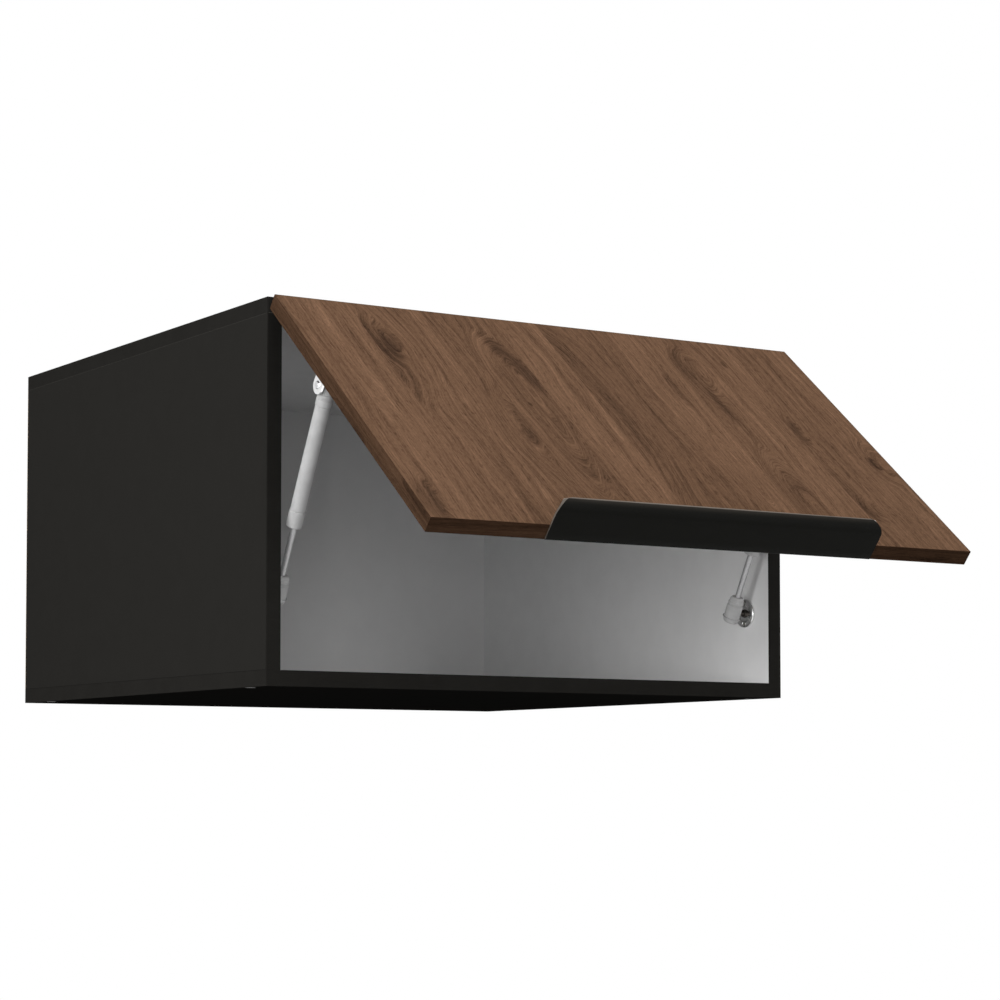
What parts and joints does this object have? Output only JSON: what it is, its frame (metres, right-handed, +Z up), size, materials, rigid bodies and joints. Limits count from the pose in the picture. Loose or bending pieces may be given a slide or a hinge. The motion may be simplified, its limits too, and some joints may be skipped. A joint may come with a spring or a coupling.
{
  "type": "lift up wall cabinet",
  "caption": "Wide low kitchen wall cabinet with a walnut flap that lifts up and out on gas struts; black outside, white inside, with a black edge handle under the flap.",
  "frame": {"origin": "on the wall plane, at mid-width, level with the underside of the carcass", "axes": "+X to the right seen from the front, -Y out of the wall towards the room, +Z up"},
  "size_m": [0.6, 0.873, 0.3604],
  "materials": {
    "carcass_board": "black melamine outside, white melamine inside",
    "edge_band": "matt black",
    "white_back": "white lacquer",
    "dowel_wood": "plain beech",
    "zinc_screw": "zinc plated",
    "black_cap": "matt black",
    "hanger_plastic": "white",
    "galvanised_steel": "galvanised",
    "hinge_nickel": "nickel plated",
    "polished_plate": "polished",
    "bracket_steel": "nickel plated",
    "ball_steel": "polished",
    "walnut": "satin walnut",
    "walnut_band": "satin walnut",
    "handle_black": "matt black powder coat",
    "bumper_rubber": "clear soft rubber",
    "strut_white": "gloss white",
    "strut_cap": "white",
    "socket_white": "white",
    "clip_wire": "spring steel",
    "rod_chrome": "polished",
    "piston_steel": "turned",
    "guide_plastic": "black"
  },
  "bodies": {
    "cabinet": {"back_panel": "white_back", "bottom_panel": "carcass_board", "corner_dowels": "dowel_wood", "front_edge_bands": "edge_band", "hanger_adjusters": "zinc_screw", "hanger_hooks": "galvanised_steel", "hanger_screws": "zinc_screw", "hinge_plate_screws": "zinc_screw", "joint_screw_caps": "black_cap", "joint_screws": "zinc_screw", "left_hanger_housing": "hanger_plastic", "left_hinge_arm": "hinge_nickel", "left_hinge_plate": "hinge_nickel", "left_side_panel": "carcass_board", "left_strut_wall_plate": "polished_plate", "panel_end_bands": "edge_band", "right_hanger_housing": "hanger_plastic", "right_hinge_arm": "hinge_nickel", "right_hinge_plate": "hinge_nickel", "right_side_panel": "carcass_board", "right_strut_wall_plate": "polished_plate", "top_panel": "carcass_board", "wall_plate_screws": "zinc_screw", "wall_rail": "galvanised_steel"},
    "flap": {"flap_panel": "walnut", "flap_edge_bands": "walnut_band", "flap_bumpers": "bumper_rubber", "handle_profile": "handle_black", "handle_screws": "zinc_screw", "left_hinge_cup": "hinge_nickel", "right_hinge_cup": "hinge_nickel", "hinge_pins": "hinge_nickel", "hinge_cup_screws": "zinc_screw", "left_strut_bracket": "bracket_steel", "right_strut_bracket": "bracket_steel", "strut_bracket_screws": "zinc_screw", "left_upper_ball_stud": "ball_steel", "right_upper_ball_stud": "ball_steel"},
    "left_strut_tube": {"left_strut_tube": "strut_white", "left_strut_tube_cap": "strut_cap", "left_rod_guide": "guide_plastic", "left_upper_socket": "socket_white", "left_upper_clip": "clip_wire"},
    "left_strut_rod": {"left_strut_rod": "rod_chrome", "left_strut_piston": "piston_steel", "left_lower_socket": "socket_white", "left_lower_clip": "clip_wire", "left_lower_ball": "ball_steel"},
    "right_strut_tube": {"right_strut_tube": "strut_white", "right_strut_tube_cap": "strut_cap", "right_rod_guide": "guide_plastic", "right_upper_socket": "socket_white", "right_upper_clip": "clip_wire"},
    "right_strut_rod": {"right_strut_rod": "rod_chrome", "right_strut_piston": "piston_steel", "right_lower_socket": "socket_white", "right_lower_clip": "clip_wire", "right_lower_ball": "ball_steel"}
  },
  "joints": [
    {"name": "flap_lift", "type": "hinge", "parent": "cabinet", "child": "flap", "pos_m": [0, -0.58236, 0.35401], "axis": [-1, 0, 0], "range_deg": [-50.5, 0], "stiffness_Nm_per_rad": 1.5, "springref_deg": 171.89},
    {"name": "left_strut_swing", "type": "hinge", "parent": "flap", "child": "left_strut_tube", "pos_m": [-0.2676, -0.62763, 0.27196], "axis": [-1, 0, 0], "range_deg": [0, 73.21]},
    {"name": "left_strut_slide", "type": "slide", "parent": "left_strut_tube", "child": "left_strut_rod", "axis": [0, -0.4659, 0.8848], "range_m": [0, 0.02829]},
    {"name": "right_strut_swing", "type": "hinge", "parent": "flap", "child": "right_strut_tube", "pos_m": [0.2676, -0.62763, 0.27196], "axis": [-1, 0, 0], "range_deg": [0, 73.21]},
    {"name": "right_strut_slide", "type": "slide", "parent": "right_strut_tube", "child": "right_strut_rod", "axis": [0, -0.4659, 0.8848], "range_m": [0, 0.02829]}
  ],
  "couplings": [
    {"joint": "left_strut_swing", "follows": "flap_lift", "ratio": -1.4457},
    {"joint": "left_strut_slide", "follows": "flap_lift", "m_per_rad": -0.03187},
    {"joint": "right_strut_swing", "follows": "flap_lift", "ratio": -1.4457},
    {"joint": "right_strut_slide", "follows": "flap_lift", "m_per_rad": -0.03187}
  ]
}
